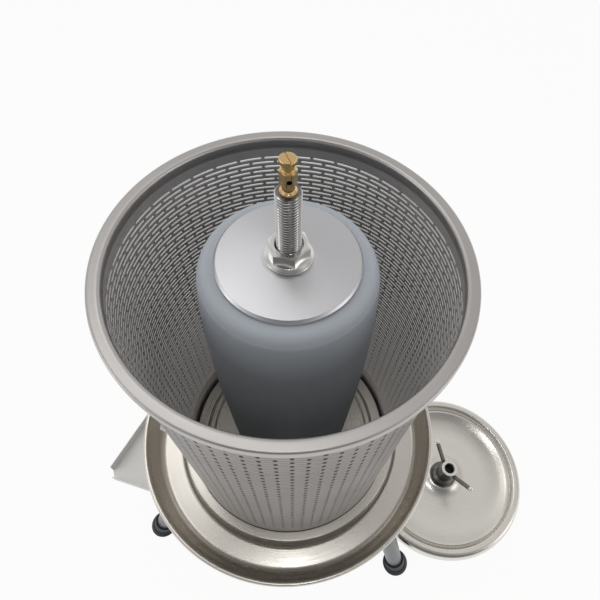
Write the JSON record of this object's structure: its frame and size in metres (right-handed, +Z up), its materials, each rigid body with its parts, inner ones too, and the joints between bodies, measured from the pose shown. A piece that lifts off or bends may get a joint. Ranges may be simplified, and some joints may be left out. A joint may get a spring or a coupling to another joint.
{
  "type": "water pressure fruit press",
  "caption": "Upright fruit press: a perforated basket round a water-filled rubber bladder on a juice tray with three legs; its lid with a threaded nut lies beside it.",
  "frame": {"origin": "on the press axis, at the floor that the feet and the lid rest on", "axes": "+Z up along the spindle; legs at -150, -30 and 90 degrees about Z from +X; the lid lies towards +X"},
  "size_m": [0.8066, 0.549, 0.914],
  "materials": {
    "stainless": "satin",
    "leg_steel": "satin",
    "foot_rubber": "matte",
    "bladder_rubber": "matte",
    "aluminium": "turned",
    "brass": "polished",
    "plated": "satin"
  },
  "bodies": {
    "base": {"juice_tray": "stainless", "tray_spout": "stainless", "spindle": "stainless", "flange_nut": "stainless", "upper_jam_nut": "stainless", "lower_jam_nut": "stainless", "tray_nut": "stainless", "tray_washer": "stainless", "leg_tube_left": "leg_steel", "leg_socket_left": "leg_steel", "leg_tube_right": "leg_steel", "leg_socket_right": "leg_steel", "leg_tube_back": "leg_steel", "leg_socket_back": "leg_steel", "rubber_foot_left": "foot_rubber", "rubber_foot_right": "foot_rubber", "rubber_foot_back": "foot_rubber", "basket_seal": "foot_rubber", "bleed_washer": "foot_rubber", "bladder": "bladder_rubber", "top_clamp": "aluminium", "upper_inner_clamp": "aluminium", "lower_inner_clamp": "aluminium", "bleed_valve_body": "brass", "inlet_elbow": "plated", "valve_body": "plated", "hose_coupling": "plated"},
    "basket": {"basket_wall": "stainless", "basket_rim": "stainless"},
    "lid": {"lid": "stainless", "lid_boss": "stainless"},
    "lid_nut": {"lid_nut_hub": "stainless", "lid_nut_arms": "stainless", "lid_nut_balls": "stainless"},
    "inlet_valve": {"valve_ball": "stainless", "valve_stem": "stainless", "valve_lever": "stainless", "lever_nut": "stainless"},
    "bleed_carrier": {"bleed_ring": "brass"},
    "bleed_screw": {"bleed_screw": "brass"}
  },
  "joints": [
    {"name": "basket_lift", "type": "slide", "parent": "base", "child": "basket", "axis": [0, 0, 1], "range_m": [0, 0.6]},
    {"name": "lid_pull", "type": "slide", "parent": "base", "child": "lid", "axis": [0.9883, 0.1523, 0], "range_m": [0, 0.12]},
    {"name": "lid_nut_turn", "type": "hinge", "parent": "lid", "child": "lid_nut", "pos_m": [0.344, 0.053, 0.04], "axis": [0, 0, 1], "continuous": true},
    {"name": "inlet_valve_turn", "type": "hinge", "parent": "base", "child": "inlet_valve", "pos_m": [-0.05629, 0.0325, 0.2935], "axis": [0, 0, 1], "range_deg": [0, 90]},
    {"name": "bleed_rise", "type": "slide", "parent": "base", "child": "bleed_carrier", "axis": [0, 0, 1], "range_m": [0, 0.003]},
    {"name": "bleed_turn", "type": "hinge", "parent": "bleed_carrier", "child": "bleed_screw", "pos_m": [0, 0, 0.91], "axis": [0, 0, 1], "range_deg": [0, 1350]}
  ],
  "couplings": [
    {"joint": "bleed_rise", "follows": "bleed_turn", "m_per_rad": 0.00012732}
  ]
}
